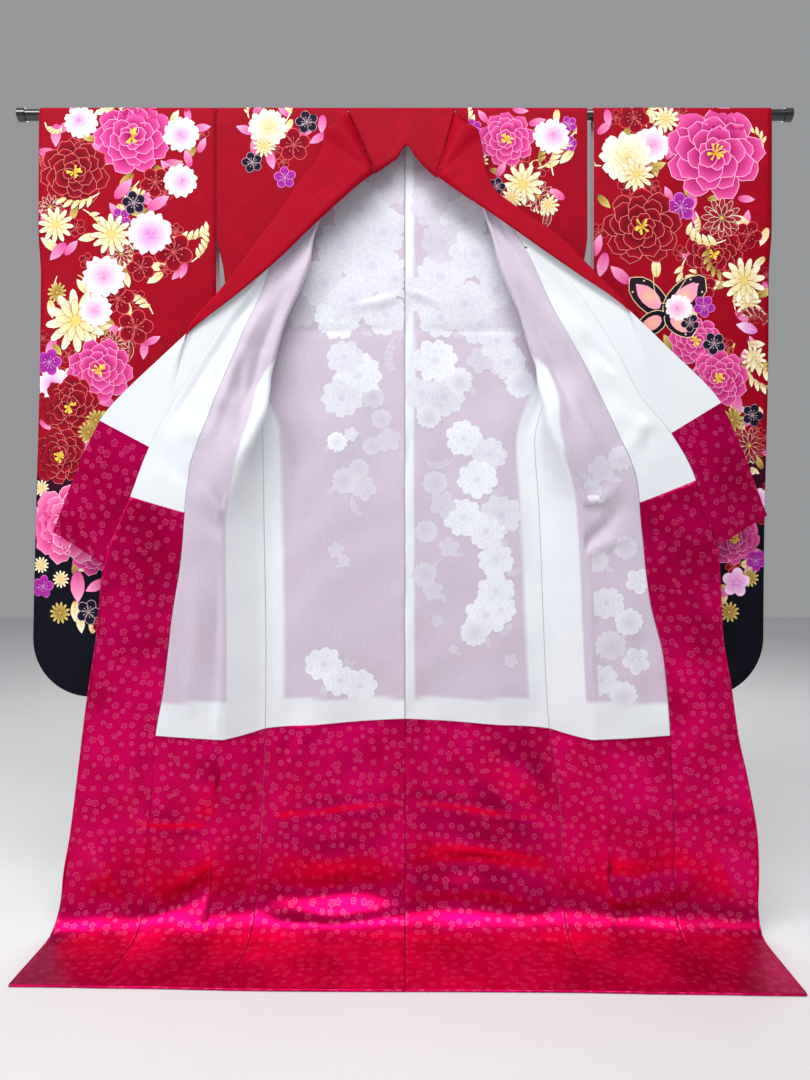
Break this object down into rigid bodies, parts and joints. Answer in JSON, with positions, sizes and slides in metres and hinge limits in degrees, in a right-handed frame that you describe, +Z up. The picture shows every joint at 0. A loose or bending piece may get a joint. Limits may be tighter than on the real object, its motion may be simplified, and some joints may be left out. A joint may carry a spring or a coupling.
{
  "type": "furisode kimono on a hanging rod",
  "caption": "Long-sleeved lined formal kimono hung open over a rod, fronts turned out to show the lining, hem trailing on the floor.",
  "frame": {"origin": "middle of the hanging rod", "axes": "+X to the viewer's right along the rod, +Y from the front to the back, +Z up"},
  "size_m": [1.4286, 0.2416, 1.514],
  "materials": {
    "outer_cloth": "matt silk crepe",
    "white_lining": "soft silk",
    "hem_lining": "glossy satin",
    "lacquer": "gloss black lacquer"
  },
  "bodies": {
    "root": {"rod": "lacquer", "left_rod_cap": "lacquer", "right_rod_cap": "lacquer", "neck_collar_outer": "outer_cloth", "left_sleeve": "outer_cloth", "left_back_outer": "outer_cloth", "left_back_lining": "white_lining", "left_back_hem_lining": "hem_lining", "left_front_outer": "outer_cloth", "left_front_lining": "white_lining", "left_front_hem_lining": "hem_lining", "left_okumi_outer": "outer_cloth", "left_okumi_lining": "white_lining", "left_okumi_hem_lining": "hem_lining", "left_collar_outer": "outer_cloth", "left_collar_lining": "white_lining", "left_collar_end_lining": "hem_lining", "right_sleeve": "outer_cloth", "right_back_outer": "outer_cloth", "right_back_lining": "white_lining", "right_back_hem_lining": "hem_lining", "right_front_outer": "outer_cloth", "right_front_lining": "white_lining", "right_front_hem_lining": "hem_lining", "right_okumi_outer": "outer_cloth", "right_okumi_lining": "white_lining", "right_okumi_hem_lining": "hem_lining", "right_collar_outer": "outer_cloth", "right_collar_lining": "white_lining", "right_collar_end_lining": "hem_lining"}
  },
  "joints": []
}
